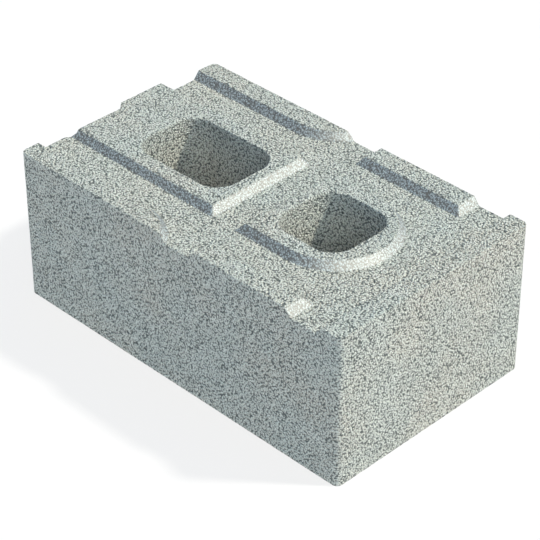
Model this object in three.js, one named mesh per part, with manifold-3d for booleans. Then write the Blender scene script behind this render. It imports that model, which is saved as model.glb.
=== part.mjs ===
// A hollow concrete building block for dry-laid, interlocking walls, cast in one piece.
// Millimetres, +Z up. The origin is at the centre of the bed face that the block lies on.
// +X runs along the length, from the jointed end to the plain end.
//
// The block is its plan outline extruded to full height, cut down to the form that the
// mould's shoe presses into the top, and pierced by two tapered cores.

import * as THREE from "three";
import { mergeVertices } from "three/addons/utils/BufferGeometryUtils.js";
import Module from "manifold-3d";

// ---- Driving dimensions -------------------------------------------------------------

// The whole block
const BLOCK_LENGTH = 500;
const BLOCK_WIDTH = 294;
const BODY_HEIGHT = 185; // up to the floors of the channels
const CORNER_RADIUS = 8; // on the four upright outer edges

// The keys, which stand on the body and leave the channels between them
const KEY_HEIGHT = 10;
const KEY_SLOPE_RUN = 8.5; // from the edge of a key's flat top out to its foot
const EDGE_KEY_WIDTH = 26.5; // flat top of the keys along the two sides and the plain end
const EDGE_KEY_END_RADIUS = 68.5; // where the two longer side keys curve away to the face
const PAD_WIDTH = 137; // flat top of the two pads that the cores come up through
const ROUND_PAD_LENGTH = 137; // the pad at the plain end, whose own end is a half circle
const ROUND_PAD_SETBACK = 1.5; // how far it stops short of the side keys beside it
const CROSS_CHANNEL_WIDTH = 34; // floor of the two channels that run from side to side

// The tongue and groove on the jointed end, which fits the same end turned half round
const JOINT_DEPTH = 9.5; // also the run of its flanks, which lie at 45 degrees
const JOINT_TONGUE_WIDTH = 76; // at half its depth

// The cores, measured at the top, where they are widest
const CORE_WIDTH = 98;
const CORE_CORNER_RADIUS = 28;
const CORE_DRAFT = 2; // how much each wall leans in by the time it reaches the bed
const SHORT_CORE_LENGTH = 97;
const SHORT_CORE_LIP = 16; // from the straight edge of the round pad to its core
const LONG_CORE_LIP = 14; // from the straight edge of the long pad to its core
const JOINTED_END_WALL = 79; // from the tip of the tongue to the long core

// Fineness of curves, and how far cutting shapes run past what they cut
const ARC_SEGMENTS = 6; // an arc gets twice as many facets
const OVERRUN = 20;

const CONCRETE = { color: 0xa6aba6, roughness: 0.95, metalness: 0.0 };

// ---- Places worked out from them ----------------------------------------------------

const FULL_HEIGHT = BODY_HEIGHT + KEY_HEIGHT;
const JOINTED_END = -BLOCK_LENGTH / 2;
const PLAIN_END = BLOCK_LENGTH / 2;
const SIDE = BLOCK_WIDTH / 2; // distance of each side face from the middle
const PAD_SIDE = PAD_WIDTH / 2;

const END_KEY_EDGE = PLAIN_END - EDGE_KEY_WIDTH;
const CHANNEL_TOP_WIDTH = CROSS_CHANNEL_WIDTH + 2 * KEY_SLOPE_RUN;
const SHORT_KEY_END = END_KEY_EDGE - CHANNEL_TOP_WIDTH;
const ROUND_PAD_END = SHORT_KEY_END - ROUND_PAD_SETBACK;
const ROUND_PAD_START = ROUND_PAD_END - ROUND_PAD_LENGTH;
const LONG_PAD_END = ROUND_PAD_START - CHANNEL_TOP_WIDTH;

const SHORT_CORE_START = ROUND_PAD_START + SHORT_CORE_LIP;
const LONG_CORE_START = JOINTED_END + JOINTED_END_WALL;
const LONG_CORE_LENGTH = LONG_PAD_END - LONG_CORE_LIP - LONG_CORE_START;

// ---- Solids -------------------------------------------------------------------------

const wasm = await Module();
wasm.setup();

/** A closed geometry as a solid that can be joined and cut. */
function solidOf(geometry) {
  const separate = geometry.index ? geometry.toNonIndexed() : geometry;
  const bare = new THREE.BufferGeometry();
  bare.setAttribute("position", separate.getAttribute("position"));
  const merged = mergeVertices(bare, 1e-4);
  const mesh = new wasm.Mesh({
    numProp: 3,
    vertProperties: new Float32Array(merged.getAttribute("position").array),
    triVerts: new Uint32Array(merged.index.array),
  });
  return new wasm.Manifold(mesh);
}

/** A solid's surface as a geometry with flat shading. */
function geometryOf(solid) {
  const mesh = solid.getMesh();
  const indexed = new THREE.BufferGeometry();
  const positions = new THREE.BufferAttribute(mesh.vertProperties, mesh.numProp);
  indexed.setAttribute("position", positions);
  indexed.setIndex(new THREE.BufferAttribute(mesh.triVerts, 1));
  const faceted = indexed.toNonIndexed();
  faceted.computeVertexNormals();
  return faceted;
}

// ---- Outlines, all in plan and anticlockwise ----------------------------------------

/** A rectangle given by its low and high corners. */
function rectangle(lowX, lowY, highX, highY) {
  const outline = new THREE.Shape();
  outline.moveTo(lowX, lowY);
  outline.lineTo(highX, lowY);
  outline.lineTo(highX, highY);
  outline.lineTo(lowX, highY);
  outline.closePath();
  return outline;
}

/** A rectangle about the X axis, from startX for a length, with all its corners rounded. */
function roundedRectangle(startX, length, width, cornerRadius) {
  const radius = Math.min(cornerRadius, length / 2, width / 2);
  const endX = startX + length;
  const side = width / 2;
  const quarter = Math.PI / 2;
  const outline = new THREE.Shape();
  outline.absarc(endX - radius, radius - side, radius, -quarter, 0);
  outline.absarc(endX - radius, side - radius, radius, 0, quarter);
  outline.absarc(startX + radius, side - radius, radius, quarter, 2 * quarter);
  outline.absarc(startX + radius, radius - side, radius, 2 * quarter, 3 * quarter);
  outline.closePath();
  return outline;
}

/** The block from above: rounded corners, a plain end, and the tongue and groove. */
function planOutline() {
  const radius = CORNER_RADIUS;
  const quarter = Math.PI / 2;
  const grooveFloor = JOINTED_END + JOINT_DEPTH;
  const halfFlank = JOINT_DEPTH / 2;
  const outline = new THREE.Shape();
  outline.absarc(JOINTED_END + radius, radius - SIDE, radius, 2 * quarter, 3 * quarter);
  outline.absarc(PLAIN_END - radius, radius - SIDE, radius, 3 * quarter, 4 * quarter);
  outline.absarc(PLAIN_END - radius, SIDE - radius, radius, 0, quarter);
  outline.absarc(grooveFloor + radius, SIDE - radius, radius, quarter, 2 * quarter);
  // Down the jointed end: rebate, tongue, groove, and the shoulder at the near corner.
  outline.lineTo(grooveFloor, JOINT_TONGUE_WIDTH + halfFlank);
  outline.lineTo(JOINTED_END, JOINT_TONGUE_WIDTH - halfFlank);
  outline.lineTo(JOINTED_END, halfFlank);
  outline.lineTo(grooveFloor, -halfFlank);
  outline.lineTo(grooveFloor, halfFlank - JOINT_TONGUE_WIDTH);
  outline.lineTo(JOINTED_END, -halfFlank - JOINT_TONGUE_WIDTH);
  outline.closePath();
  return outline;
}

/** The longer side key: straight, then curving off to leave the face beside the long pad. */
function longSideKeyOutline() {
  const radius = EDGE_KEY_END_RADIUS;
  const innerEdge = EDGE_KEY_WIDTH - SIDE;
  const centreY = innerEdge - radius;
  const reach = Math.sqrt(radius ** 2 - (radius - EDGE_KEY_WIDTH) ** 2);
  const centreX = LONG_PAD_END - reach;
  const outerY = -SIDE - OVERRUN;
  const leavingAngle = Math.asin((outerY - centreY) / radius);
  const outline = new THREE.Shape();
  outline.absarc(centreX, centreY, radius, leavingAngle, Math.PI / 2);
  outline.lineTo(JOINTED_END - OVERRUN, innerEdge);
  outline.lineTo(JOINTED_END - OVERRUN, outerY);
  outline.closePath();
  return outline;
}

/** The pad at the plain end: square where it faces the other pad, then a half circle. */
function roundPadOutline() {
  const centreX = ROUND_PAD_END - PAD_SIDE;
  const quarter = Math.PI / 2;
  const outline = new THREE.Shape();
  outline.absarc(centreX, 0, PAD_SIDE, -quarter, 0);
  outline.absarc(centreX, 0, PAD_SIDE, 0, quarter);
  outline.lineTo(ROUND_PAD_START, PAD_SIDE);
  outline.lineTo(ROUND_PAD_START, -PAD_SIDE);
  outline.closePath();
  return outline;
}

// ---- Shapes made from the outlines --------------------------------------------------

/** A key: its flat top has the outline, and its sides slope out to the body and root in it. */
function key(topOutline) {
  const geometry = new THREE.ExtrudeGeometry(topOutline, {
    depth: OVERRUN,
    bevelThickness: KEY_HEIGHT,
    bevelSize: KEY_SLOPE_RUN,
    bevelSegments: 1,
    curveSegments: ARC_SEGMENTS,
  });
  geometry.translate(0, 0, BODY_HEIGHT - OVERRUN);
  return solidOf(geometry);
}

/** The same solid on the other side of the block's middle. */
function mirrored(solid) {
  return solid.mirror([0, 1, 0]);
}

/** What the shoe leaves: everything below the channel floors, and the keys above them. */
function pressedForm() {
  const inner = EDGE_KEY_WIDTH - SIDE;
  const outer = -SIDE - OVERRUN;
  const floors = new THREE.BoxGeometry(
    BLOCK_LENGTH + 2 * OVERRUN,
    BLOCK_WIDTH + 2 * OVERRUN,
    BODY_HEIGHT + OVERRUN,
  );
  floors.translate(0, 0, (BODY_HEIGHT - OVERRUN) / 2);
  const longSideKey = key(longSideKeyOutline());
  const shortSideKey = key(rectangle(ROUND_PAD_START, outer, SHORT_KEY_END, inner));
  const endKey = key(rectangle(END_KEY_EDGE, outer, PLAIN_END + OVERRUN, -outer));
  const longPad = key(
    rectangle(JOINTED_END - OVERRUN, -PAD_SIDE, LONG_PAD_END, PAD_SIDE),
  );
  return solidOf(floors)
    .add(longSideKey)
    .add(mirrored(longSideKey))
    .add(shortSideKey)
    .add(mirrored(shortSideKey))
    .add(endKey)
    .add(longPad)
    .add(key(roundPadOutline()));
}

/** A core: open at both beds, each wall leaning in by the draft from the top down. */
function core(startX, length) {
  const narrowest = roundedRectangle(
    startX + CORE_DRAFT,
    length - 2 * CORE_DRAFT,
    CORE_WIDTH - 2 * CORE_DRAFT,
    CORE_CORNER_RADIUS - CORE_DRAFT,
  );
  // The lower bevel is the drafted wall. Below the bed and above the block it runs straight.
  const drafted = new THREE.ExtrudeGeometry(narrowest, {
    depth: OVERRUN,
    bevelThickness: FULL_HEIGHT,
    bevelSize: CORE_DRAFT,
    bevelSegments: 1,
    curveSegments: ARC_SEGMENTS,
  });
  drafted.translate(0, 0, FULL_HEIGHT);
  const mouth = new THREE.ExtrudeGeometry(narrowest, {
    depth: 2 * OVERRUN,
    bevelEnabled: false,
    curveSegments: ARC_SEGMENTS,
  });
  mouth.translate(0, 0, -OVERRUN);
  return solidOf(drafted).add(solidOf(mouth));
}

/** The finished block. */
function concreteBlock() {
  const prism = new THREE.ExtrudeGeometry(planOutline(), {
    depth: FULL_HEIGHT,
    bevelEnabled: false,
    curveSegments: ARC_SEGMENTS,
  });
  const solid = solidOf(prism)
    .intersect(pressedForm())
    .subtract(core(LONG_CORE_START, LONG_CORE_LENGTH))
    .subtract(core(SHORT_CORE_START, SHORT_CORE_LENGTH));
  const mesh = new THREE.Mesh(geometryOf(solid), new THREE.MeshStandardMaterial(CONCRETE));
  mesh.name = "concrete_block";
  return mesh;
}

const part = new THREE.Group();
part.add(concreteBlock());

export default part;
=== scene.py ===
"""Looks of a hollow concrete building block for dry-laid walls, cast in one piece.

The block is one skin of quads. Its top is a height over a plan grid, its outer and core
walls are profiles carried along closed paths, and rings of loops join the cores to the grid.
All shaping is done in millimetres in the part's own frame and turned into metres at the end.
"""

import logging
import math
from dataclasses import dataclass, field
from enum import Enum

import bmesh
import bpy
import numpy as np
from mathutils import Euler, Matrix
from numpy.typing import NDArray


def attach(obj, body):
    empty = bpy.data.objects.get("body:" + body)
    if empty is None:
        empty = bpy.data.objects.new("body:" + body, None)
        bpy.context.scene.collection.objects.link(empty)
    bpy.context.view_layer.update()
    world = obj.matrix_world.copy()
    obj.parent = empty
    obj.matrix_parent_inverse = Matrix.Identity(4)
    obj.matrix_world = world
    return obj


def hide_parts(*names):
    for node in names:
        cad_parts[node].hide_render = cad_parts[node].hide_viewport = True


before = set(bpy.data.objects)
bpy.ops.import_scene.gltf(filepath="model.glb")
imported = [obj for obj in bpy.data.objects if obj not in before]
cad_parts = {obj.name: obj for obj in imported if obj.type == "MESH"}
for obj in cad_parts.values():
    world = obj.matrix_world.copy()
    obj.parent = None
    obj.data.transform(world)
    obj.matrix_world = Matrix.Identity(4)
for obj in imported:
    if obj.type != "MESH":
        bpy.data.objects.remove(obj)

Array = NDArray[np.float64]
Indices = NDArray[np.int64]
Place = tuple[float, float]
Span = tuple[float, float]
Direction = tuple[float, float, float]
Colour = tuple[float, float, float]
Feed = bpy.types.NodeSocket | float | tuple[float, ...]

LOG = logging.getLogger("concrete_block")
METRES = 0.001


# ---- Sizes ---------------------------------------------------------------------------


@dataclass(frozen=True)
class BlockSizes:
    """The block's own sizes in millimetres, as in the part's source."""

    length: float = 500.0
    width: float = 294.0
    body_height: float = 185.0
    corner_radius: float = 8.0
    key_height: float = 10.0
    slope_run: float = 8.5
    edge_key_width: float = 26.5
    edge_key_end_radius: float = 68.5
    pad_width: float = 137.0
    round_pad_length: float = 137.0
    round_pad_setback: float = 1.5
    cross_channel_width: float = 34.0
    joint_depth: float = 9.5
    tongue_width: float = 76.0
    core_width: float = 98.0
    core_corner_radius: float = 28.0
    core_draft: float = 2.0
    short_core_length: float = 97.0
    short_core_lip: float = 16.0
    long_core_lip: float = 14.0
    jointed_end_wall: float = 79.0

    @property
    def full_height(self) -> float:
        """Height of the keys' flat tops above the bed."""
        return self.body_height + self.key_height

    @property
    def half_length(self) -> float:
        """Distance of each end from the middle."""
        return self.length / 2

    @property
    def half_width(self) -> float:
        """Distance of each side face from the middle."""
        return self.width / 2

    @property
    def pad_side(self) -> float:
        """Distance of a pad's long edges from the middle line."""
        return self.pad_width / 2

    @property
    def joint_flank(self) -> float:
        """Half of what a flank of the tongue and groove covers across the width."""
        return self.joint_depth / 2

    @property
    def edge_key_inner(self) -> float:
        """Distance of the side keys' inner edges from the middle line."""
        return self.half_width - self.edge_key_width

    @property
    def edge_key_reach(self) -> float:
        """How far along the length a long side key's curved end reaches."""
        radius = self.edge_key_end_radius
        return math.sqrt(radius**2 - (radius - self.edge_key_width) ** 2)

    @property
    def end_key_edge(self) -> float:
        """Where the key across the plain end starts, along the length."""
        return self.half_length - self.edge_key_width

    @property
    def channel_top_width(self) -> float:
        """Width of a cross channel between the flat tops beside it."""
        return self.cross_channel_width + 2 * self.slope_run

    @property
    def short_key_end(self) -> float:
        """Where the two short side keys end, along the length."""
        return self.end_key_edge - self.channel_top_width

    @property
    def round_pad_end(self) -> float:
        """The far point of the round pad's flat top."""
        return self.short_key_end - self.round_pad_setback

    @property
    def round_pad_start(self) -> float:
        """The straight edge of the round pad's flat top."""
        return self.round_pad_end - self.round_pad_length

    @property
    def long_pad_end(self) -> float:
        """The square end of the long pad's flat top."""
        return self.round_pad_start - self.channel_top_width

    @property
    def long_core(self) -> Span:
        """Centre along the length, and half length, of the long core at the top."""
        start = -self.half_length + self.jointed_end_wall
        end = self.long_pad_end - self.long_core_lip
        return (start + end) / 2, (end - start) / 2

    @property
    def short_core(self) -> Span:
        """Centre along the length, and half length, of the short core at the top."""
        start = self.round_pad_start + self.short_core_lip
        return start + self.short_core_length / 2, self.short_core_length / 2


@dataclass(frozen=True)
class Wear:
    """How far casting and handling have taken the skin from a crisp form.

    Depths, radii and the sizes of features are in millimetres. The edge mask is a bell that
    is edge_offset beyond an arris and edge_reach wide, and its wall values are the masks on
    the rounded part of a wall's upper arris, from the top down, and of its lower one.
    """

    arris: float = 0.9
    arris_change: float = 0.35
    arris_limits: Span = (-1.2, 1.6)
    arris_size: float = 11.0
    fine_arris_size: float = 4.5
    fine_arris_share: float = 0.5
    mouth: float = 1.3
    bed_arris: float = 0.9
    slope_blend: float = 0.7
    edge_wander: float = 0.25
    wander_size: float = 6.0
    slope_mask_blend: float = 0.6
    edge_offset: float = 0.3
    edge_reach: float = 1.7
    wall_edge: tuple[float, ...] = (1.0, 0.95, 0.8)
    wall_edge_reach: float = 2.4
    bed_edge: float = 0.6
    chip_depth: float = 1.2
    chip_size: float = 7.5
    chip_start: float = 0.45
    fine_chip_share: float = 0.6
    fine_chip_ratio: float = 2.2
    swell: float = 0.22
    swell_size: float = 42.0
    pitting: float = 0.22
    pitting_size: float = 9.0
    bed_calm: float = 5.0


@dataclass(frozen=True)
class Fineness:
    """How fine the skin is and where the plan grid is cut, in millimetres and in rows.

    The spacings are the mean ones between one stop of the grid and the next. The margins are
    the strips of grid kept between a core's window and the form beside it. The inset shares
    are how far the lines next to the jointed end follow the rim where it is set in.
    """

    column_spacings: tuple[float, ...] = (
        2.0, 2.4, 2.4, 1.6, 1.2, 1.3, 2.4, 2.0, 1.3, 2.4, 1.3, 1.8, 2.4, 1.3, 2.4, 2.0,
    )
    row_spacings: tuple[float, ...] = (2.0, 1.9, 1.4, 2.4, 1.4, 1.9, 1.5, 1.4, 1.3, 2.4)
    middle_spacing: float = 2.4
    short_run: float = 60.0
    short_pinch: float = 0.5
    long_pinch: float = 0.3
    joint_stretch: float = 62.0
    joint_fade: float = 58.0
    rim_margin: float = 3.5
    side_margin: float = 2.5
    skirt_margin: float = 6.5
    flank_margin: float = 1.5
    inset_shares: tuple[float, ...] = (0.7, 0.35, 0.1)
    arris_turns: tuple[float, ...] = (30.0, 60.0, 90.0)
    wall_rows: int = 30
    wall_pinch: float = 0.75
    ring_rows: int = 6
    skirt_rows: int = 4
    arris_offsets: tuple[float, ...] = (-2.2, -1.1, -0.3, 0.5, 1.4, 2.6)
    foot_offsets: tuple[float, ...] = (-2.3, -1.0, 0.0, 1.4)


# ---- Working tools -------------------------------------------------------------------


class Seed(Enum):
    """Which random pattern a noise follows."""

    EDGES = 41
    SWELL = 7
    PITS = 19
    CHIPS = 23
    FINE_CHIPS = 29


class GradientNoise:
    """Smooth random variation in space, the same for the same seed."""

    ENTRIES = 256
    GAIN = 1.7

    def __init__(self, seed: Seed) -> None:
        """Draws the random directions.

        Args:
            seed: Chooses the pattern.
        """
        chance = np.random.default_rng(seed.value)
        directions = chance.normal(size=(self.ENTRIES, 3))
        self._directions = directions / np.linalg.norm(directions, axis=1, keepdims=True)
        self._order = chance.permutation(self.ENTRIES)

    def at(self, points: Array, wavelength: float) -> Array:
        """Value of the noise at each point.

        Formula: space is cut in cubes of one wavelength, each cube corner holds a random
        direction, and the value is the corners' slopes towards the point, blended with the
        quintic fade.

        Args:
            points: Places, one row each, in millimetres.
            wavelength: Size of a feature.

        Returns:
            One value a point, mostly between -1 and 1.
        """
        cell = np.floor(points / wavelength).astype(np.int64)
        local = points / wavelength - cell
        fade = local**3 * (local * (local * 6 - 15) + 10)
        total = np.zeros(len(points))
        for corner in np.ndindex(2, 2, 2):
            step = np.array(corner)
            draw = np.zeros(len(points), np.int64)
            for place in (cell + step).T:
                draw = self._order[(draw + place) & (self.ENTRIES - 1)]
            towards = ((local - step) * self._directions[draw]).sum(axis=1)
            weight = np.where(step == 1, fade, 1 - fade).prod(axis=1)
            total += towards * weight
        return self.GAIN * total

    def raised(self, points: Array, wavelength: float) -> Array:
        """The noise moved up and halved, so that it lies mostly between 0 and 1."""
        return 0.5 + 0.5 * self.at(points, wavelength)


def smooth_step(value: Array) -> Array:
    """Three times the square less twice the cube of the value held between 0 and 1."""
    held = np.clip(value, 0.0, 1.0)
    return held * held * (3 - 2 * held)


def pinched(count: int, pinch: float) -> Array:
    """Numbers from 0 to 1, closer together near both ends.

    Formula: an even parameter less a sine of one turn, scaled by the pinch over two pi.

    Args:
        count: Number of steps.
        pinch: 0 spaces them evenly, and nearer 1 crowds the ends more.

    Returns:
        The numbers, both ends included.
    """
    even = np.linspace(0.0, 1.0, count + 1)
    return even - pinch * np.sin(2 * np.pi * even) / (2 * np.pi)


def graded(start: float, stop: float, spacing: float, pinch: float) -> Array:
    """Stations from start to stop, both included, closer together near both ends.

    Args:
        start: First station.
        stop: Last station.
        spacing: Mean distance between stations, at most.
        pinch: 0 spaces them evenly, and nearer 1 crowds the ends more.

    Returns:
        The stations.
    """
    count = max(1, math.ceil((stop - start) / spacing))
    return start + (stop - start) * pinched(count, pinch)


def mitres(path: Array) -> Array:
    """Outward mitre vectors of a closed anticlockwise path.

    Formula: the sum of the unit normals of the two segments at a point, over one plus their
    dot product, so that moving every point by a distance offsets every segment by it.

    Args:
        path: The path's points, one row each.

    Returns:
        One vector a point.
    """
    ahead = np.roll(path, -1, axis=0) - path
    ahead /= np.linalg.norm(ahead, axis=1, keepdims=True)
    normal = np.stack([ahead[:, 1], -ahead[:, 0]], axis=1)
    before = np.roll(normal, 1, axis=0)
    return (normal + before) / (1 + (normal * before).sum(axis=1, keepdims=True))


class Side(Enum):
    """The four sides of a loop, in anticlockwise order, as quarter turns from +X."""

    PLAIN_END = 0
    BACK = 1
    JOINTED_END = 2
    FRONT = 3

    def turned(self, outwards: Array, along: Array) -> Array:
        """Plan points from distances out of this side and along it, anticlockwise.

        Args:
            outwards: Distances out of the middle, square to the side.
            along: Distances along the side from its middle.

        Returns:
            The points.
        """
        angle = self.value * math.pi / 2
        cosine, sine = round(math.cos(angle)), round(math.sin(angle))
        return np.stack(
            [outwards * cosine - along * sine, outwards * sine + along * cosine], axis=-1
        )


@dataclass(frozen=True)
class LoopStations:
    """Where the points of a loop lie: each one's side and its share of that side."""

    side: Indices
    share: Array

    def __len__(self) -> int:
        """Number of points in the loop."""
        return len(self.side)


def placed(name: str, data: bpy.types.ID) -> bpy.types.Object:
    """A new object that holds the data, in the scene's collection."""
    item = bpy.data.objects.new(name, data)
    bpy.context.scene.collection.objects.link(item)
    return item


# ---- The keyed top -------------------------------------------------------------------


@dataclass(frozen=True)
class KeyedTop:
    """The form of the top: flat keys with sloping sides, and channels between them."""

    sizes: BlockSizes
    wear: Wear

    def beyond_keys(self, x: Array, y: Array) -> Array:
        """Distance outside the nearest key's flat top, negative on it.

        Formula: for each key the largest of its distances past its straight edges, or the
        distance from the centre of its round end less the radius, and the smallest of all.

        Args:
            x: Places along the length.
            y: Places across the width.

        Returns:
            The distances, in millimetres.
        """
        s = self.sizes
        across = np.abs(y)
        end_key = s.end_key_edge - x
        long_pad = np.maximum(x - s.long_pad_end, across - s.pad_side)
        short_side = np.maximum.reduce(
            [s.round_pad_start - x, x - s.short_key_end, s.edge_key_inner - across]
        )
        radius = s.edge_key_end_radius
        from_x = x - (s.long_pad_end - s.edge_key_reach)
        from_y = s.edge_key_inner + radius - across
        long_side = np.where(
            from_x < 0, s.edge_key_inner - across, np.hypot(from_x, from_y) - radius
        )
        from_x = x - (s.round_pad_end - s.pad_side)
        round_end = np.where(from_x < 0, across, np.hypot(from_x, across))
        round_pad = np.maximum(s.round_pad_start - x, round_end - s.pad_side)
        return np.minimum.reduce([end_key, long_pad, short_side, long_side, round_pad])

    def rise(self, distance: Array) -> Array:
        """Share of the key height at a distance beyond a key's flat top.

        Formula: a straight fall from 1 to 0 over the slope's run, averaged over the blend
        length on both sides, which rounds the arris and fillets the foot.

        Args:
            distance: Distances from beyond_keys.

        Returns:
            Shares between 0 and 1.
        """
        run, blend = self.sizes.slope_run, self.wear.slope_blend

        def area(t: Array) -> Array:
            """Area under the straight fall, from the arris to t."""
            held = np.clip(t, 0.0, run)
            return np.minimum(t, 0.0) + held - held**2 / (2 * run)

        return (area(distance + blend) - area(distance - blend)) / (2 * blend)

    def points(self, plan: Array, noise: GradientNoise) -> tuple[Array, Array, Array]:
        """Points of the top over plan places, with their masks.

        Formula: the height is the body's and the key height times the rise, with the keys'
        edges moved in by a wander that follows the noise. The slope mask is 1 between arris
        and foot, and the edge mask is a bell about the arris.

        Args:
            plan: Plan places, two last.
            noise: Where the wander comes from.

        Returns:
            The points, the slope mask and the edge mask.
        """
        sizes, wear = self.sizes, self.wear
        x, y = plan[..., 0], plan[..., 1]
        flat = np.stack([x, y, np.zeros_like(x)], axis=-1).reshape(-1, 3)
        wander = wear.edge_wander * noise.raised(flat, wear.wander_size).reshape(x.shape)
        distance = self.beyond_keys(x, y)
        z = sizes.body_height + sizes.key_height * self.rise(distance + wander)
        slope = smooth_step(distance / wear.slope_mask_blend)
        slope *= smooth_step((sizes.slope_run - distance) / wear.slope_mask_blend)
        edge = np.exp(-(((distance - wear.edge_offset) / wear.edge_reach) ** 2))
        return np.stack([x, y, z], axis=-1), slope, edge


# ---- Loops around the cores ----------------------------------------------------------


@dataclass(frozen=True)
class CoreLoop:
    """A core's outline in plan: a rounded rectangle about the middle line."""

    centre_x: float
    half_length: float
    half_width: float
    corner_radius: float

    def points(self, at: LoopStations, outwards: Array | float) -> Array:
        """Points of the outline, offset outwards.

        Formula: from the middle of each side the point runs along the straight part, then
        round the corner arc to its half-way angle. The offset grows the arc's radius.

        Args:
            at: The points' sides and shares.
            outwards: Offset from the outline, one value or one a point.

        Returns:
            Plan points.
        """
        grown = np.broadcast_to(np.asarray(outwards, float), at.share.shape)
        result = np.zeros((len(at), 2))
        for side in Side:
            here = at.side == side.value
            reach, span = self.half_length, self.half_width
            if side in (Side.BACK, Side.FRONT):
                reach, span = span, reach
            radius = self.corner_radius
            straight = span - radius
            along = np.abs(at.share[here]) * (straight + radius * math.pi / 4)
            angle = np.maximum(0.0, along - straight) / radius
            arc = radius + grown[here]
            out = reach - radius + arc * np.cos(angle)
            run = np.minimum(along, straight) + arc * np.sin(angle)
            result[here] = side.turned(out, np.sign(at.share[here]) * run)
        result[:, 0] += self.centre_x
        return result


@dataclass(frozen=True)
class RoundPadLoop:
    """The round pad's outline in plan: square at one end, a half circle at the other."""

    start_x: float
    centre_x: float
    radius: float

    def points(self, at: LoopStations) -> Array:
        """Points of the outline.

        Formula: the plain-end side is a quarter circle, each long side is an eighth of the
        circle and then the straight edge, evenly spaced by length, and the last side is the
        straight end.

        Args:
            at: The points' sides and shares.

        Returns:
            Plan points.
        """
        eighth = math.pi / 4
        arc_length = self.radius * eighth
        straight = self.centre_x - self.start_x
        result = np.zeros((len(at), 2))
        round_side = at.side == Side.PLAIN_END.value
        angle = eighth * at.share[round_side]
        result[round_side] = self.radius * np.stack([np.cos(angle), np.sin(angle)], axis=-1)
        for side, sign in ((Side.BACK, 1.0), (Side.FRONT, -1.0)):
            here = at.side == side.value
            gone = (1 + sign * at.share[here]) / 2 * (arc_length + straight)
            angle = eighth + np.minimum(gone, arc_length) / self.radius
            out_x = self.radius * np.cos(angle) - np.maximum(gone - arc_length, 0.0)
            result[here] = np.stack([out_x, sign * self.radius * np.sin(angle)], axis=-1)
        end = at.side == Side.JOINTED_END.value
        across = -self.radius * at.share[end]
        result[end] = np.stack([np.full(across.shape, -straight), across], axis=-1)
        result[:, 0] += self.centre_x
        return result


# ---- The skin ------------------------------------------------------------------------


@dataclass
class Skin:
    """A growing mesh of quads: points, two masks a point, and the faces between them."""

    points: list[Array] = field(default_factory=list)
    slope: list[Array] = field(default_factory=list)
    edge: list[Array] = field(default_factory=list)
    quads: list[Indices] = field(default_factory=list)
    count: int = 0

    def add_points(self, points: Array, slope: Array, edge: Array) -> Indices:
        """Adds points and returns their numbers.

        Args:
            points: Places in millimetres, in an array of any shape with three last.
            slope: 1 on the keys' sloping sides, of the same shape without the last.
            edge: 1 on an arris, fading away from it, of the same shape.

        Returns:
            The points' numbers, in the same shape.
        """
        shape = points.shape[:-1]
        self.points.append(points.reshape(-1, 3))
        self.slope.append(np.broadcast_to(slope, shape).reshape(-1))
        self.edge.append(np.broadcast_to(edge, shape).reshape(-1))
        first, self.count = self.count, self.count + len(self.points[-1])
        return np.arange(first, self.count).reshape(shape)

    def add_cells(self, numbers: Indices, keep: NDArray[np.bool_]) -> None:
        """Adds the quads of an open grid.

        Args:
            numbers: Point numbers, first axis along X and second along Y.
            keep: Which cells are wanted.
        """
        corners = [numbers[:-1, :-1], numbers[1:, :-1], numbers[1:, 1:], numbers[:-1, 1:]]
        self.quads.append(np.stack(corners, axis=-1)[keep])

    def add_band(self, loops: Indices, turned: bool = False) -> None:
        """Adds the quads between closed loops.

        Args:
            loops: Point numbers, one row a loop, each anticlockwise.
            turned: False where the next loop is further out or lower on an outer wall, True
                on the wall of a hole.
        """
        after = np.roll(loops, -1, axis=1)
        order = [loops[:-1], loops[1:], after[1:], after[:-1]]
        if turned:
            order = [order[0], *order[:0:-1]]
        self.quads.append(np.stack(order, axis=-1).reshape(-1, 4))

    def joined(self) -> tuple[Array, Array, Array, Indices]:
        """All points, both masks and all quads as single arrays."""
        parts = (self.points, self.slope, self.edge, self.quads)
        return tuple(np.concatenate(part) for part in parts)


def point_normals(points: Array, quads: Indices) -> Array:
    """Unit normals at the points.

    Formula: each quad's normal is half the cross product of its diagonals, which is its area
    too, and a point's normal is the sum over its quads, made one long.

    Args:
        points: Places, one row each.
        quads: Corner numbers, one row a quad.

    Returns:
        One unit vector a point.
    """
    corners = points[quads]
    facing = np.cross(corners[:, 2] - corners[:, 0], corners[:, 3] - corners[:, 1])
    total = np.zeros_like(points)
    for corner in range(4):
        np.add.at(total, quads[:, corner], facing)
    length = np.linalg.norm(total, axis=1, keepdims=True)
    return total / np.maximum(length, np.finfo(float).tiny)


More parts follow.
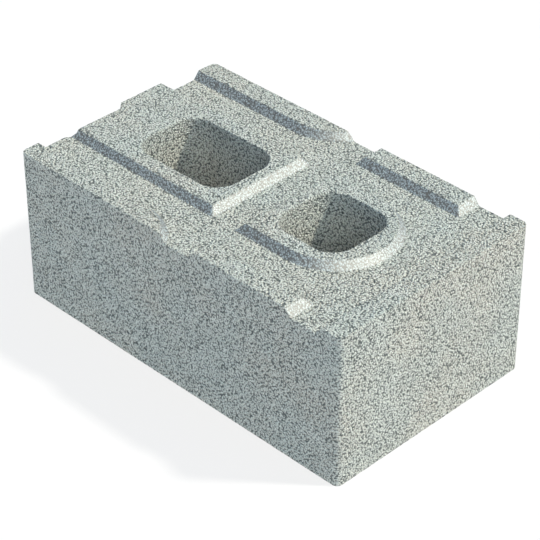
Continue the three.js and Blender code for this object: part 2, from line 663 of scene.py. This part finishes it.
@dataclass(frozen=True)
class Window:
    """A rectangle of grid cells left out of the plan grid for a core and its surround."""

    first_column: int
    last_column: int
    first_row: int
    last_row: int

    @classmethod
    def around(cls, xs: Array, ys: Array, corners: tuple[Place, Place]) -> "Window":
        """The window whose sides are the grid lines nearest to two corners.

        Args:
            xs: The grid's stations along the length.
            ys: The grid's stations across the width.
            corners: The low and the high corner.

        Returns:
            The window.
        """
        (low_x, low_y), (high_x, high_y) = corners
        lines = ((xs, low_x), (xs, high_x), (ys, low_y), (ys, high_y))
        return cls(*(int(np.abs(all_lines - place).argmin()) for all_lines, place in lines))

    def rim(self, numbers: Indices) -> Indices:
        """The grid's entries along the window's rim, anticlockwise from its low right corner.

        Args:
            numbers: One entry a grid point, first axis along X and second along Y.

        Returns:
            The entries, each once.
        """
        left, right = self.first_column, self.last_column
        low, high = self.first_row, self.last_row
        return np.concatenate(
            [
                numbers[right, low:high],
                numbers[left + 1 : right + 1, high][::-1],
                numbers[left, low + 1 : high + 1][::-1],
                numbers[left:right, low],
            ]
        )

    def stations(self, xs: Array, ys: Array) -> LoopStations:
        """Side and share of every rim point, in the same order as the rim.

        Args:
            xs: The grid's stations along the length.
            ys: The grid's stations across the width.

        Returns:
            The loop's stations.
        """
        inside_x = xs[self.first_column : self.last_column + 1]
        inside_y = ys[self.first_row : self.last_row + 1]
        along, across = (
            2 * (inside - inside[0]) / (inside[-1] - inside[0]) - 1
            for inside in (inside_x, inside_y)
        )
        shares = [across[:-1], -along[1:][::-1], -across[1:][::-1], along[:-1]]
        sides = [np.full(len(part), number) for number, part in enumerate(shares)]
        return LoopStations(np.concatenate(sides), np.concatenate(shares))

    def cells(self, shape: tuple[int, int]) -> NDArray[np.bool_]:
        """Which of the grid's cells are inside the window.

        Args:
            shape: Number of cells along the length and across the width.

        Returns:
            True for each cell inside.
        """
        inside = np.zeros(shape, bool)
        inside[self.first_column : self.last_column, self.first_row : self.last_row] = True
        return inside


@dataclass(frozen=True)
class ConcreteBlock:
    """The cast block: its sizes, its wear, and the methods that build and dress it."""

    sizes: BlockSizes = BlockSizes()
    wear: Wear = Wear()
    fineness: Fineness = Fineness()
    name: str = "cast_concrete_block"

    # -- the plan grid

    @property
    def long_corners(self) -> tuple[Place, Place]:
        """Low and high corner of the window round the long core."""
        s, fine = self.sizes, self.fineness
        across = s.pad_side - fine.side_margin
        start, stop = fine.joint_stretch - s.half_length, s.long_pad_end - fine.rim_margin
        return (start, -across), (stop, across)

    @property
    def round_corners(self) -> tuple[Place, Place]:
        """Low and high corner of the window round the round pad."""
        s, fine = self.sizes, self.fineness
        across = s.tongue_width + s.joint_flank + fine.flank_margin
        start = s.round_pad_start - s.slope_run - fine.skirt_margin
        return (start, -across), (s.short_key_end + s.slope_run + fine.rim_margin, across)

    def pinch(self, run: float) -> float:
        """How much the stations of a run crowd its ends, by the run's length."""
        fine = self.fineness
        return fine.short_pinch if run < fine.short_run else fine.long_pinch

    def stations(self, stops: list[float], spacings: tuple[float, ...]) -> Array:
        """Grid stations through a row of stops, each stop among them.

        Args:
            stops: Places the grid has to pass through, in order.
            spacings: Mean spacing from each stop to the next.

        Returns:
            All stations in order.
        """
        runs = [
            graded(here, there, spacing, self.pinch(there - here))[:-1]
            for here, there, spacing in zip(stops[:-1], stops[1:], spacings, strict=True)
        ]
        return np.concatenate([*runs, stops[-1:]])

    def columns(self) -> Array:
        """Grid stations along the length, one on every straight edge across the block."""
        s = self.sizes
        end, run = s.half_length, s.slope_run
        (long_start, _), (long_stop, _) = self.long_corners
        (round_start, _), (round_stop, _) = self.round_corners
        stops = [
            -end,
            s.corner_radius - end,
            long_start,
            s.long_pad_end - s.edge_key_reach,
            long_stop,
            s.long_pad_end,
            s.long_pad_end + run,
            round_start,
            s.round_pad_start - run,
            s.round_pad_start,
            s.short_key_end,
            s.short_key_end + run,
            round_stop,
            s.end_key_edge - run,
            s.end_key_edge,
            end - s.corner_radius,
            end,
        ]
        return self.stations(stops, self.fineness.column_spacings)

    def rows(self) -> Array:
        """Grid stations across the width, one on every straight edge along the block."""
        s, fine = self.sizes, self.fineness
        flank = s.joint_flank
        stops = [
            -s.half_width,
            s.corner_radius - s.half_width,
            -s.edge_key_inner,
            s.slope_run - s.edge_key_inner,
            self.round_corners[0][1],
            -s.tongue_width - flank,
            -s.pad_side - s.slope_run,
            flank - s.tongue_width,
            -s.pad_side,
            self.long_corners[0][1],
            -flank,
        ]
        low = self.stations(stops, fine.row_spacings)
        middle = graded(-flank, flank, fine.middle_spacing, 0.0)[1:-1]
        return np.concatenate([low, middle, -low[::-1]])

    def plan(self, xs: Array, ys: Array) -> Array:
        """Plan places of the grid's points.

        Formula: the jointed end's points are moved in by the tongue and groove, which fades
        out over the first stretch of the length. Then each corner square becomes a quarter
        disc, a point's larger distance being its radius and the ratio of the two its angle.

        Args:
            xs: Stations along the length.
            ys: Stations across the width.

        Returns:
            Points in an array of columns, rows and two.
        """
        s = self.sizes
        end, side, flank = s.half_length, s.half_width, s.joint_flank
        tongue, depth = s.tongue_width, s.joint_depth
        bends = [-tongue - flank, flank - tongue, -flank, flank, tongue - flank, tongue + flank]
        inset = np.interp(ys, bends, [0.0, depth, depth, 0.0, 0.0, depth])
        fade = 1 - smooth_step((xs + end) / self.fineness.joint_fade)
        x, y = np.meshgrid(xs, ys, indexing="ij")
        x = x + fade[:, None] * inset[None, :]
        radius = s.corner_radius
        for corner_x, corner_y in ((-end, -side), (end, -side), (end, side), (depth - end, side)):
            towards_x, towards_y = -np.sign(corner_x), -np.sign(corner_y)
            centre_x, centre_y = corner_x + towards_x * radius, corner_y + towards_y * radius
            u = (centre_x - x) * towards_x / radius
            v = (centre_y - y) * towards_y / radius
            square = (u > 0) & (v > 0)
            larger = np.maximum(u, v)
            ratio = np.divide(np.minimum(u, v), larger, out=np.zeros_like(u), where=square)
            angle = np.where(u >= v, ratio, 2 - ratio) * math.pi / 4
            x = np.where(square, centre_x - towards_x * radius * larger * np.cos(angle), x)
            y = np.where(square, centre_y - towards_y * radius * larger * np.sin(angle), y)
        return np.stack([x, y], axis=-1)

    # -- the walls

    def arris_radius(self, path: Array, z: float, radius: float, noise: GradientNoise) -> Array:
        """Radius of a rounded arris at each point of a path, larger and smaller by turns.

        Formula: the mean radius times one plus the change, which is a coarse noise and a
        share of a fine one, held between the limits.

        Args:
            path: The wall's line in plan.
            z: Height of the arris, which chooses the part of the noise.
            radius: The mean radius.
            noise: Where the change comes from.

        Returns:
            One radius a point.
        """
        wear = self.wear
        places = np.column_stack([path, np.full(len(path), z)])
        change = noise.at(places, wear.arris_size)
        change += wear.fine_arris_share * noise.at(places, wear.fine_arris_size)
        return radius * (1 + wear.arris_change * np.clip(change, *wear.arris_limits))

    def wall_rows(
        self, top: Array, path: Array, arris: float, noise: GradientNoise
    ) -> tuple[Array, Array, Array]:
        """The profile that is carried along a wall, from its upper arris to the bed.

        Formula: a quarter circle of the upper radius, a straight drop with pinched stations,
        and a quarter circle of the lower radius.

        Args:
            top: Height of the wall's upper end at each point of the path.
            path: The wall's line in plan.
            arris: Mean radius of the upper arris.
            noise: Where the change of both arrises comes from.

        Returns:
            Set-back from the wall's face, height, and edge mask, one row a loop.
        """
        wear, fine, full = self.wear, self.fineness, self.sizes.full_height
        upper = self.arris_radius(path, full, arris, noise)
        lower = self.arris_radius(path, 0.0, wear.bed_arris, noise)
        turns = np.radians(fine.arris_turns)[:, None]
        shares = pinched(fine.wall_rows, fine.wall_pinch)[1:]
        drop = (lower + upper - top) * shares[:, None]
        setback = [upper * (1 - np.sin(turns)), 0 * drop, lower * (1 - np.cos(turns))]
        height = [top - upper * (1 - np.cos(turns)), top - upper + drop]
        height.append(lower * (1 - np.sin(turns)))
        fade = np.exp(-((shares * full / wear.wall_edge_reach) ** 2))
        edge = [wear.wall_edge, fade, [wear.bed_edge] * len(turns)]
        return np.concatenate(setback), np.concatenate(height), np.concatenate(edge)

    def add_outer_walls(
        self, skin: Skin, rim: Indices, rim_height: Array, path: Array, noise: GradientNoise
    ) -> None:
        """Carries the wall profile along the block's outline.

        Args:
            skin: Takes the points and quads.
            rim: Numbers of the top's outermost points.
            rim_height: Their heights.
            path: The outline itself, at the same stations.
            noise: Where the change of the arris comes from.
        """
        setback, height, edge = self.wall_rows(rim_height, path, self.wear.arris, noise)
        plan = path[None] - mitres(path)[None] * setback[..., None]
        points = np.concatenate([plan, height[..., None]], axis=-1)
        loops = skin.add_points(points, np.zeros(height.shape), edge[:, None])
        skin.add_band(np.concatenate([rim[None], loops]))

    def add_core_walls(
        self, skin: Skin, mouth: Indices, core: CoreLoop, at: LoopStations, noise: GradientNoise
    ) -> None:
        """Carries the wall profile round a core, leaning in by the draft on the way down.

        Args:
            skin: Takes the points and quads.
            mouth: Numbers of the loop at the core's upper arris.
            core: The core's outline at the top.
            at: Stations of the loop.
            noise: Where the change of the arris comes from.
        """
        full = self.sizes.full_height
        top = np.full(len(at), full)
        path = core.points(at, 0.0)
        setback, height, edge = self.wall_rows(top, path, self.wear.mouth, noise)
        draft = self.sizes.core_draft * (1 - height / full)
        plan = np.stack([core.points(at, out) for out in setback - draft])
        points = np.concatenate([plan, height[..., None]], axis=-1)
        loops = skin.add_points(points, np.zeros(height.shape), edge[:, None])
        skin.add_band(np.concatenate([mouth[None], loops]), turned=True)

    # -- the rings round the cores

    def core_mouth(self, core: CoreLoop, at: LoopStations, noise: GradientNoise) -> Array:
        """Plan places of the loop where a core's upper arris meets the pad's flat top.

        Args:
            core: The core's outline at the top.
            at: Stations of the loop.
            noise: Where the change of the arris comes from.

        Returns:
            The places.
        """
        path = core.points(at, 0.0)
        radius = self.arris_radius(path, self.sizes.full_height, self.wear.mouth, noise)
        return core.points(at, radius)

    def between(self, inner: Array, outer: Array, rows: int) -> Array:
        """Loops from the inner one, which is included, towards the outer one, which isn't."""
        share = np.linspace(0.0, 1.0, rows + 1)[:-1, None, None]
        return inner[None] * (1 - share) + outer[None] * share

    def round_pad_loops(self, mouth: Array, rim: Array, at: LoopStations) -> Array:
        """Loops of the round pad, its slope and a strip of the channel floor round it.

        Formula: offsets of the pad's own outline carry the arris, the slope and the foot, and
        straight blends fill in between them and the core's mouth and the window's rim.

        Args:
            mouth: The loop at the core's mouth.
            rim: The window's rim.
            at: Stations of the loops.

        Returns:
            Plan places, one row a loop.
        """
        s, fine = self.sizes, self.fineness
        run, centre = s.slope_run, s.round_pad_end - s.pad_side
        offsets = [*fine.arris_offsets, run / 2, *(run + foot for foot in fine.foot_offsets)]
        strip = np.stack(
            [
                RoundPadLoop(s.round_pad_start - out, centre, s.pad_side + out).points(at)
                for out in offsets
            ]
        )
        inner = self.between(mouth, strip[0], fine.ring_rows)
        outer = self.between(strip[-1], rim, fine.skirt_rows)
        return np.concatenate([inner, strip[:-1], outer])

    # -- the whole

    def skin(self) -> tuple[Array, Array, Array, Indices]:
        """Builds every surface but the bed.

        Formula: the plan grid's rim is set in by the arris, the lines next to the jointed
        end follow it by their shares, and the grid is raised to the keyed top. The cells
        round each core are left out, and a ring of loops from the core's mouth to the
        window's rim fills the gap. The walls hang from the grid's rim and from the mouths.

        Returns:
            Points in millimetres, slope mask, edge mask and quads.
        """
        s, fine = self.sizes, self.fineness
        noise = GradientNoise(Seed.EDGES)
        top = KeyedTop(s, self.wear)
        xs, ys = self.columns(), self.rows()
        plan = self.plan(xs, ys)
        places = np.arange(len(xs) * len(ys)).reshape(len(xs), len(ys))
        whole = Window(0, len(xs) - 1, 0, len(ys) - 1)
        border = whole.rim(places)
        outline = plan.reshape(-1, 2)[border]
        radius = self.arris_radius(outline, s.full_height, self.wear.arris, noise)
        inwards = np.zeros_like(plan)
        inwards.reshape(-1, 2)[border] = -mitres(outline) * radius[:, None]
        for column, share in enumerate(fine.inset_shares, start=1):
            inwards[column, 1:-1] = inwards[0, 1:-1] * share
        plan = plan + inwards

        windows = [Window.around(xs, ys, at) for at in (self.long_corners, self.round_corners)]
        columns, rows = len(xs) - 1, len(ys) - 1
        keep = ~np.logical_or.reduce([window.cells((columns, rows)) for window in windows])
        used = np.zeros(places.shape, bool)
        for across, along in np.ndindex(2, 2):
            used[across : across + columns, along : along + rows] |= keep
        points, slope, edge = top.points(plan, noise)
        edge.reshape(-1)[border] = 1.0
        skin = Skin()
        numbers = np.full(used.shape, -1)
        numbers[used] = skin.add_points(points[used], slope[used], edge[used])
        skin.add_cells(numbers, keep)
        rim_height = points.reshape(-1, 3)[border][:, 2]
        self.add_outer_walls(skin, whole.rim(numbers), rim_height, outline, noise)

        cores = ((s.long_core, False), (s.short_core, True))
        for window, (measures, in_round_pad) in zip(windows, cores):
            core = CoreLoop(*measures, s.core_width / 2, s.core_corner_radius)
            at = window.stations(xs, ys)
            mouth = self.core_mouth(core, at, noise)
            rim = plan.reshape(-1, 2)[window.rim(places)]
            if in_round_pad:
                loops = self.round_pad_loops(mouth, rim, at)
            else:
                loops = self.between(mouth, rim, fine.ring_rows)
            ring, slope, edge = top.points(loops, noise)
            edge[0] = 1.0
            ring_numbers = skin.add_points(ring, slope, edge)
            skin.add_band(np.concatenate([ring_numbers, window.rim(numbers)[None]]))
            self.add_core_walls(skin, ring_numbers[0], core, at, noise)
        return skin.joined()

    def weathered(self, points: Array, edge: Array, quads: Indices) -> Array:
        """Points moved in by swells, pits and chips.

        Formula: each point goes against its normal by two noises held above zero, and near
        an arris by a third that counts only where it is high. All fade out at the bed.

        Args:
            points: Places in millimetres.
            edge: The edge mask.
            quads: The faces, for the normals.

        Returns:
            The moved places.
        """
        wear = self.wear
        swell = GradientNoise(Seed.SWELL).raised(points, wear.swell_size)
        pits = GradientNoise(Seed.PITS).raised(points, wear.pitting_size)
        chips = GradientNoise(Seed.CHIPS).at(points, wear.chip_size)
        fine_size = wear.chip_size / wear.fine_chip_ratio
        chips += wear.fine_chip_share * GradientNoise(Seed.FINE_CHIPS).at(points, fine_size)
        chips = np.clip(chips - wear.chip_start, 0.0, 1.0)
        depth = wear.swell * np.clip(swell, 0, 1) + wear.pitting * np.clip(pits, 0, 1)
        depth += wear.chip_depth * chips * edge
        depth *= smooth_step(points[:, 2] / wear.bed_calm)
        return points - point_normals(points, quads) * depth[:, None]

    def build(self) -> bpy.types.Object:
        """Builds the block as one closed object in metres.

        Returns:
            The object, at the origin, in the scene's collection.
        """
        points, slope, edge, quads = self.skin()
        points = self.weathered(points, edge, quads)
        mesh = bpy.data.meshes.new(self.name)
        mesh.vertices.add(len(points))
        mesh.vertices.foreach_set("co", (points * METRES).astype(np.float32).ravel())
        mesh.loops.add(quads.size)
        mesh.loops.foreach_set("vertex_index", quads.astype(np.int32).ravel())
        mesh.polygons.add(len(quads))
        starts = np.arange(0, quads.size, 4, dtype=np.int32)
        mesh.polygons.foreach_set("loop_start", starts)
        mesh.polygons.foreach_set("use_smooth", np.ones(len(quads), bool))
        layer = mesh.attributes.new("slope", "FLOAT", "POINT")
        layer.data.foreach_set("value", slope.astype(np.float32))
        mesh.update(calc_edges=True)
        self.close_bed(mesh)
        return placed(self.name, mesh)

    def close_bed(self, mesh: bpy.types.Mesh) -> None:
        """Fills the flat bed between the outer loop and the two core loops.

        Args:
            mesh: The open skin, which gets the bed's faces.
        """
        work = bmesh.new()
        work.from_mesh(mesh)
        rims = [edge for edge in work.edges if edge.is_boundary]
        made = bmesh.ops.triangle_fill(work, use_beauty=True, use_dissolve=False, edges=rims)
        for item in made["geom"]:
            if isinstance(item, bmesh.types.BMFace):
                item.smooth = False
                item.normal_update()
                if item.normal.z > 0:
                    item.normal_flip()
        work.to_mesh(mesh)
        work.free()


# ---- Finishes ------------------------------------------------------------------------


class Graph:
    """A material's or the world's node tree, with short ways to add and feed nodes."""

    def __init__(self, dressed: bpy.types.Material | bpy.types.World) -> None:
        """Empties the tree.

        Args:
            dressed: The material or world to dress.
        """
        dressed.use_nodes = True
        self.tree = dressed.node_tree
        self.tree.nodes.clear()

    def add(
        self, kind: str, inputs: dict[str | int, Feed] | None = None, **settings: object
    ) -> bpy.types.Node:
        """Adds a node.

        Args:
            kind: The node's type.
            inputs: What feeds each input, by its name or number.
            settings: The node's own settings.

        Returns:
            The node.
        """
        node = self.tree.nodes.new(kind)
        for setting, value in settings.items():
            setattr(node, setting, value)
        for label, value in (inputs or {}).items():
            socket = node.inputs[label]
            if isinstance(value, bpy.types.NodeSocket):
                self.tree.links.new(value, socket)
            else:
                socket.default_value = (*value, 1.0) if socket.type == "RGBA" else value
        return node

    def noise(
        self, where: bpy.types.NodeSocket, scale: float, detail: float = 0.0, rough: float = 0.5
    ) -> bpy.types.NodeSocket:
        """A noise texture's value at a place, in features a metre."""
        inputs = {"Vector": where, "Scale": scale, "Detail": detail, "Roughness": rough}
        return self.add("ShaderNodeTexNoise", inputs).outputs["Fac"]

    def spread(
        self, value: bpy.types.NodeSocket, span: Span, onto: Span = (0.0, 1.0)
    ) -> bpy.types.NodeSocket:
        """A value spread from one span onto another and held inside it.

        Args:
            value: What is spread.
            span: Where the value starts and ends.
            onto: What it then starts and ends at.

        Returns:
            The result's socket.
        """
        inputs = {"Value": value, "From Min": span[0], "From Max": span[1]}
        inputs |= {"To Min": onto[0], "To Max": onto[1]}
        return self.add("ShaderNodeMapRange", inputs, clamp=True).outputs["Result"]

    def calculate(self, operation: str, first: Feed, second: Feed) -> bpy.types.NodeSocket:
        """One step of arithmetic on two values."""
        inputs = {0: first, 1: second}
        return self.add("ShaderNodeMath", inputs, operation=operation).outputs["Value"]

    def mix(
        self, share: Feed, first: Feed, second: Feed, blend: str = "MIX"
    ) -> bpy.types.NodeSocket:
        """A mix of two colours.

        Args:
            share: How much of the second colour.
            first: The first colour.
            second: The second colour.
            blend: How the second goes onto the first.

        Returns:
            The result's socket.
        """
        inputs = {0: share, 6: first, 7: second}
        node = self.add("ShaderNodeMix", inputs, data_type="RGBA", blend_type=blend)
        return node.outputs[2]

    def seen_directly(self) -> bpy.types.NodeSocket:
        """1 for rays from the camera, off a mirror or through glass, and 0 for the rest."""
        path = self.add("ShaderNodeLightPath").outputs
        seen = self.calculate("MAXIMUM", path["Is Camera Ray"], path["Is Glossy Ray"])
        return self.calculate("MAXIMUM", seen, path["Is Transmission Ray"])


@dataclass(frozen=True)
class OpenTexturedConcrete:
    """Pressed concrete: pale sand and cement grains with small dark pits between them, whose
    darkness is partly painted shade.

    Scales are in features a metre and reliefs in metres. A span is where on a texture's own
    range a change starts and where it is complete.
    """

    name: str = "open_textured_concrete"
    body: Colour = (0.453, 0.464, 0.435)
    pale: Colour = (0.675, 0.683, 0.645)
    # Colour of the pits: partly the voids' own dark, partly painted shade in them.
    pit_and_shade: Colour = (0.126, 0.136, 0.133)
    warm: Colour = (0.515, 0.465, 0.405)
    # The two slope colours below are painted shade: a dark blue tint for sky-lit shade on the
    # keys' sloping sides, darkest in their pits.
    slope: Colour = (0.435, 0.52, 0.62)
    slope_shade_pit: Colour = (0.07, 0.125, 0.185)
    turn: Direction = (0.61, 0.43, 0.29)
    grain_scale: float = 440.0
    sand_scale: float = 900.0
    sand_share: float = 0.55
    pit_and_shade_span: Span = (0.46, 0.26)
    pale_span: Span = (0.50, 0.78)
    slope_span: Span = (0.3, 0.7)
    cloud_scale: float = 11.0
    cloud_span: Span = (0.38, 0.66)
    warm_share: Span = (0.0, 0.7)
    patch_scale: float = 48.0
    patch_span: Span = (0.3, 0.7)
    patch_light: Span = (0.96, 1.04)
    lump_scale: float = 340.0
    lump_relief: float = 0.0024
    relief: float = 0.0024
    roughness: float = 0.85
    gloss: float = 0.1
    coat_roughness: float = 0.53
    coat_ior: float = 1.85
    coat_lean: float = 0.25

    def material(self) -> bpy.types.Material:
        """Makes the material.

        Formula: cells of grain size plus a share of a noise of sand size are the fine height.
        Where it is low the body turns to the pits' dark colour, partly the voids' own and
        partly painted shade in them, and where it is high to the pale one. Slow noises warm
        the body in clouds and lighten or darken it from place to place. The keys' sloping
        sides, taken as rubbed close by the mould, carry a coat whose normal leans up by
        coat_lean, and their colour is multiplied by a slate tint, darkest in their pits:
        painted shade, a dark blue that stands in for sky-lit shade on those sides.
        The relief is the fine height plus a coarser noise.

        Returns:
            The material.
        """
        material = bpy.data.materials.new(self.name)
        graph = Graph(material)
        own = graph.add("ShaderNodeTexCoord").outputs["Object"]
        turned = graph.add("ShaderNodeMapping", {"Vector": own, "Rotation": self.turn})
        where = turned.outputs["Vector"]
        cloud = graph.noise(where, self.cloud_scale, detail=3.0, rough=0.55)
        patch = graph.noise(where, self.patch_scale, detail=2.0)
        lump = graph.noise(where, self.lump_scale)
        cells = graph.add("ShaderNodeTexVoronoi", {"Vector": where, "Scale": self.grain_scale})
        grain = graph.calculate("SUBTRACT", 1.0, cells.outputs["Distance"])
        sand = graph.calculate("SUBTRACT", graph.noise(where, self.sand_scale), 0.5)
        sand = graph.calculate("MULTIPLY", sand, self.sand_share)
        height = graph.calculate("ADD", grain, sand)
        slope = graph.add("ShaderNodeAttribute", attribute_name="slope").outputs["Fac"]

        warmth = graph.spread(cloud, self.cloud_span, self.warm_share)
        colour = graph.mix(warmth, self.body, self.warm)
        colour = graph.mix(graph.spread(height, self.pale_span), colour, self.pale)
        # Painted shade in part: where the height is low, in the pits, the colour turns dark.
        colour = graph.mix(graph.spread(height, self.pit_and_shade_span), colour, self.pit_and_shade)
        # Painted shade: the keys' sloping sides are multiplied by a dark blue tint that stands in
        # for sky-lit shade, darkest where the height is low.
        shade = graph.mix(graph.spread(height, self.slope_span), self.slope_shade_pit, self.slope)
        colour = graph.mix(slope, colour, shade, "MULTIPLY")
        light = graph.spread(patch, self.patch_span, self.patch_light)
        shaded = graph.add("ShaderNodeVectorMath", {0: colour, "Scale": light}, operation="SCALE")

        lump = graph.calculate("MULTIPLY", lump, self.lump_relief)
        relief = graph.calculate("MULTIPLY", height, self.relief)
        relief = graph.calculate("ADD", lump, relief)
        bump = graph.add("ShaderNodeBump", {"Distance": 1.0, "Height": relief})
        level = graph.add("ShaderNodeSeparateXYZ", {0: own}).outputs["Z"]
        level = graph.calculate("MULTIPLY", level, -self.coat_lean)
        lean = graph.add("ShaderNodeBump", {"Distance": 1.0, "Height": level})
        inputs = {
            "Base Color": shaded.outputs[0],
            "Roughness": self.roughness,
            "Specular IOR Level": self.gloss,
            "Normal": bump.outputs["Normal"],
            "Coat Weight": slope,
            "Coat Roughness": self.coat_roughness,
            "Coat IOR": self.coat_ior,
            "Coat Normal": lean.outputs["Normal"],
        }
        shader = graph.add("ShaderNodeBsdfPrincipled", inputs)
        graph.add("ShaderNodeOutputMaterial", {"Surface": shader.outputs["BSDF"]})
        return material


# ---- Studio --------------------------------------------------------------------------


@dataclass(frozen=True)
class FarLight:
    """A light from far away, as broad in the sky as its width in degrees.

    Towards points from the block to the light, and strength is the power on a face turned
    to it. A gloss_only light adds nothing to a plain face and shows only in gloss.
    """

    name: str
    towards: Direction
    strength: float
    colour: Colour
    width: float
    gloss_only: bool = False

    def lamp(self) -> bpy.types.Object:
        """Hangs the light."""
        data = bpy.data.lights.new(self.name, "SUN")
        data.energy = self.strength
        data.color = self.colour
        data.angle = math.radians(self.width)
        lamp = placed(self.name, data)
        x, y, z = self.towards
        lamp.rotation_euler = Euler((0.0, math.atan2(math.hypot(x, y), z), math.atan2(y, x)))
        lamp.visible_diffuse = not self.gloss_only
        return lamp


@dataclass(frozen=True)
class Studio:
    """Floor, light and camera, in metres and degrees."""

    lens: float = 144.668
    sensor: float = 36.0
    clip: Span = (0.05, 50.0)
    camera_place: Direction = (1.4266, -1.40906, 1.49985)
    camera_turn: Direction = (54.7352, 0.1398, 45.2108)
    far_lights: tuple[FarLight, ...] = (
        FarLight("key_light", (0.48, 0.42, 0.77), 3.77, (1.0, 0.945, 0.77), 5.0),
        FarLight("haze_light", (0.48, 0.42, 0.77), 0.75, (0.55, 0.8, 0.9), 80.0),
        FarLight("fill_light", (0.577, -0.577, 0.577), 1.30, (0.93, 1.0, 0.93), 30.0),
        FarLight("front_gleam", (0.394, -0.103, 0.914), 4.25, (1.0, 0.97, 0.81), 30.0, True),
        FarLight("back_gleam", (0.156, 0.905, 0.396), 2.0, (1.0, 0.97, 0.81), 30.0, True),
    )
    sky: Colour = (0.33, 0.62, 1.0)
    sky_strength: float = 0.42
    white: Colour = (1.0, 1.0, 1.0)
    card_strength: float = 3.0
    card_colour: Colour = (0.6, 0.9, 0.92)
    card_size: Span = (2.6, 0.30)
    card_place: Direction = (-0.1, -1.3, 0.13)
    card_turn: float = 90.0
    floor_seen: Colour = (0.16, 0.16, 0.18)
    floor_glow: Colour = (0.80, 0.785, 0.76)
    floor_reach: float = 6.0
    floor_level: float = -0.0002

    def camera(self) -> bpy.types.Object:
        """Sets up the camera and makes it the scene's."""
        data = bpy.data.cameras.new("camera")
        data.lens = self.lens
        data.sensor_width = self.sensor
        data.clip_start, data.clip_end = self.clip
        camera = placed("camera", data)
        camera.location = self.camera_place
        camera.rotation_euler = Euler([math.radians(turn) for turn in self.camera_turn])
        bpy.context.scene.camera = camera
        return camera

    def sky_light(self) -> None:
        """Lights the world: a blue sky, and white where it is seen or mirrored."""
        world = bpy.data.worlds.new("world")
        bpy.context.scene.world = world
        graph = Graph(world)
        white = graph.add("ShaderNodeBackground", {"Color": self.white, "Strength": 1.0})
        sky = graph.add("ShaderNodeBackground", {"Color": self.sky, "Strength": self.sky_strength})
        inputs = {"Fac": graph.seen_directly(), 1: sky.outputs[0], 2: white.outputs[0]}
        mixed = graph.add("ShaderNodeMixShader", inputs)
        graph.add("ShaderNodeOutputWorld", {"Surface": mixed.outputs["Shader"]})

    def card(self) -> bpy.types.Object:
        """A low, faintly blue card in front of the long side, which lights it evenly."""
        data = bpy.data.lights.new("front_card", "AREA")
        data.shape = "RECTANGLE"
        data.size, data.size_y = self.card_size
        data.energy = self.card_strength
        data.color = self.card_colour
        card = placed("front_card", data)
        card.location = self.card_place
        card.rotation_euler = Euler((math.radians(self.card_turn), 0.0, 0.0))
        card.visible_camera = False
        return card

    def floor(self) -> bpy.types.Object:
        """A plain white floor that keeps the block's soft shadow."""
        mesh = bpy.data.meshes.new("floor")
        around = ((-1, -1), (1, -1), (1, 1), (-1, 1))
        reach, level = self.floor_reach, self.floor_level
        mesh.from_pydata([(x * reach, y * reach, level) for x, y in around], [], [(0, 1, 2, 3)])
        floor = placed("floor", mesh)
        material = bpy.data.materials.new("white_floor")
        graph = Graph(material)
        shaded = graph.add("ShaderNodeBsdfDiffuse", {"Color": self.floor_seen})
        glow = graph.add("ShaderNodeEmission", {"Color": self.floor_glow})
        seen = graph.add("ShaderNodeAddShader", {0: shaded.outputs[0], 1: glow.outputs[0]})
        graph.add("ShaderNodeOutputMaterial", {"Surface": seen.outputs["Shader"]})
        mesh.materials.append(material)
        return floor

    def build(self) -> None:
        """Sets up everything that isn't the block."""
        self.camera()
        self.sky_light()
        for light in self.far_lights:
            light.lamp()
        self.card()
        self.floor()
        bpy.context.scene.view_settings.view_transform = "Standard"


# ---- Main ----------------------------------------------------------------------------


def corners(box: tuple) -> list[list[float]]:
    """A box as plain lists of numbers."""
    return [[float(value) for value in corner] for corner in box]


def main() -> None:
    """Builds the studio and the block."""
    logging.basicConfig(level=logging.INFO, format="%(name)s: %(message)s")
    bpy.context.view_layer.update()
    Studio().build()
    piece = ConcreteBlock().build()
    piece.data.materials.append(OpenTexturedConcrete().material())
    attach(piece, "root")
    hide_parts("concrete_block")
    triangles = sum(len(face.vertices) - 2 for face in piece.data.polygons)
    LOG.info("%s: %d triangles", piece.name, triangles)


if __name__ == "__main__":
    main()
